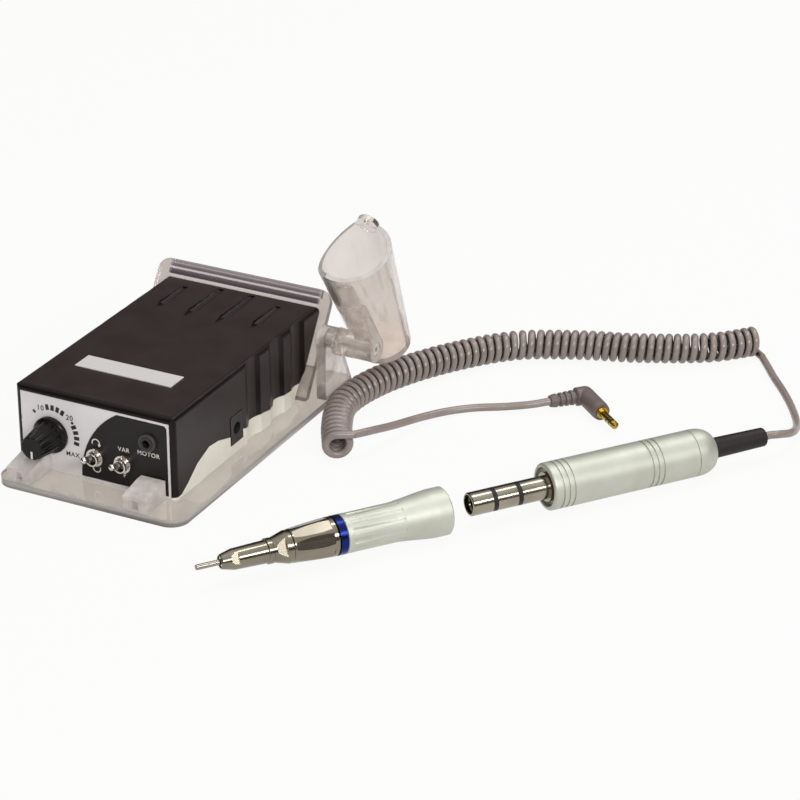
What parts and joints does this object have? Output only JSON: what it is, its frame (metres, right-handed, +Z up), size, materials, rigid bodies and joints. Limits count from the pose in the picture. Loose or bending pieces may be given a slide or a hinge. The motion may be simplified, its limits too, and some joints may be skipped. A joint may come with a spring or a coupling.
{
  "type": "portable micromotor set",
  "caption": "Battery micromotor set: leaning control unit in a clear stand with a tilting cup, motor on a coiled cord with jack plug, and a push-on straight handpiece.",
  "frame": {"origin": "centre of the stand plate's underside", "axes": "+X right along the front panel, +Y from the front panel to the leaning back wall, +Z up"},
  "size_m": [0.2965, 0.3103, 0.0912],
  "materials": {
    "clear_acrylic": "clear moulded acrylic, polished",
    "black_abs": "black moulded plastic, semi-gloss",
    "white_abs": "white moulded plastic, semi-gloss",
    "black_film": "black printed film, gloss",
    "silver_label": "brushed silver label plate, blank",
    "circuit_green": "green circuit board",
    "cell_wrap": "blue heat-shrunk cell wrap",
    "dark_plastic": "dark moulded plastic",
    "plated_steel": "nickel-plated steel",
    "dark_chrome": "polished dark chrome plate",
    "anodised_silver": "satin silver anodised aluminium",
    "blue_anodised": "blue anodised aluminium ring",
    "gold_plate": "gold-plated brass",
    "black_rubber": "black moulded rubber",
    "cord_rubber": "grey-brown flexible cord jacket",
    "copper": "copper segments and windings",
    "ferrite": "dark sintered magnet and carbon",
    "white_paint": "white filled pointer line"
  },
  "bodies": {
    "stand": {"stand_plate": "clear_acrylic", "back_wall": "clear_acrylic", "front_stops": "clear_acrylic", "holder_bracket": "clear_acrylic", "pivot_screw": "plated_steel", "pivot_nut": "plated_steel"},
    "holder": {"holder_cup": "clear_acrylic", "holder_arm": "clear_acrylic"},
    "control_unit": {"upper_cover": "black_abs", "lower_case": "white_abs", "front_panel": "white_abs", "panel_film": "black_film", "label_plate": "silver_label", "circuit_board": "circuit_green", "battery_cradle": "dark_plastic", "battery_cells": "cell_wrap", "case_screws": "plated_steel", "speed_control": "plated_steel", "control_nut": "plated_steel", "direction_switch": "plated_steel", "mode_switch": "plated_steel", "toggle_nuts": "plated_steel", "motor_socket": "dark_plastic", "socket_nut": "dark_plastic", "charge_socket": "dark_plastic"},
    "knob": {"speed_knob": "black_abs", "knob_pointer": "white_paint", "control_shaft": "plated_steel"},
    "direction_toggle": {"direction_lever": "plated_steel"},
    "mode_toggle": {"mode_lever": "plated_steel"},
    "motor": {"motor_housing": "anodised_silver", "motor_rear_cap": "anodised_silver", "coupling_nose": "dark_chrome", "nose_rings": "black_rubber", "stator_magnet": "ferrite", "motor_bearings": "plated_steel", "brush_holder": "dark_plastic", "carbon_brushes": "ferrite", "cord_boot": "black_rubber", "motor_lead": "cord_rubber", "cord_coil": "cord_rubber", "plug_lead": "cord_rubber", "plug_body": "cord_rubber", "plug_contacts": "gold_plate", "plug_insulators": "dark_plastic"},
    "rotor": {"rotor_shaft": "plated_steel", "rotor_core": "copper", "commutator": "copper", "drive_dog": "plated_steel"},
    "handpiece": {"nose_cone": "dark_chrome", "handpiece_sleeve": "anodised_silver", "colour_ring": "blue_anodised", "handpiece_bearings": "plated_steel"},
    "chuck": {"chuck_ring": "dark_chrome"},
    "tool_spindle": {"spindle": "plated_steel", "driven_dog": "plated_steel", "bur_pin": "plated_steel"}
  },
  "joints": [
    {"name": "holder_tilt", "type": "hinge", "parent": "stand", "child": "holder", "pos_m": [0.0555, 0.0557, 0.0308], "axis": [1, 0, 0], "range_deg": [0, 40]},
    {"name": "unit_lift", "type": "slide", "parent": "stand", "child": "control_unit", "axis": [0, 0, 1], "range_m": [0, 0.07]},
    {"name": "speed_turn", "type": "hinge", "parent": "control_unit", "child": "knob", "pos_m": [-0.0259, -0.062, 0.0209], "axis": [0, 1, 0], "range_deg": [0, 295]},
    {"name": "direction_flip", "type": "hinge", "parent": "control_unit", "child": "direction_toggle", "pos_m": [-0.0041, -0.0635, 0.0153], "axis": [1, 0, 0], "range_deg": [0, 34]},
    {"name": "mode_flip", "type": "hinge", "parent": "control_unit", "child": "mode_toggle", "pos_m": [0.0096, -0.0635, 0.0153], "axis": [1, 0, 0], "range_deg": [0, 34]},
    {"name": "motor_draw", "type": "slide", "parent": "stand", "child": "motor", "axis": [1, 0, 0], "range_m": [0, 0.1]},
    {"name": "rotor_spin", "type": "hinge", "parent": "motor", "child": "rotor", "pos_m": [0.17134, 0.00712, 0.0102], "axis": [0.606, 0.7955, 0], "continuous": true},
    {"name": "handpiece_push_on", "type": "slide", "parent": "motor", "child": "handpiece", "axis": [0.606, 0.7955, 0], "range_m": [-0.1, 0.0462]},
    {"name": "chuck_twist", "type": "hinge", "parent": "handpiece", "child": "chuck", "pos_m": [0.10099, -0.08523, 0.0102], "axis": [0.606, 0.7955, 0], "range_deg": [0, 45]},
    {"name": "spindle_spin", "type": "hinge", "parent": "handpiece", "child": "tool_spindle", "pos_m": [0.08281, -0.1091, 0.0102], "axis": [0.606, 0.7955, 0], "continuous": true}
  ]
}
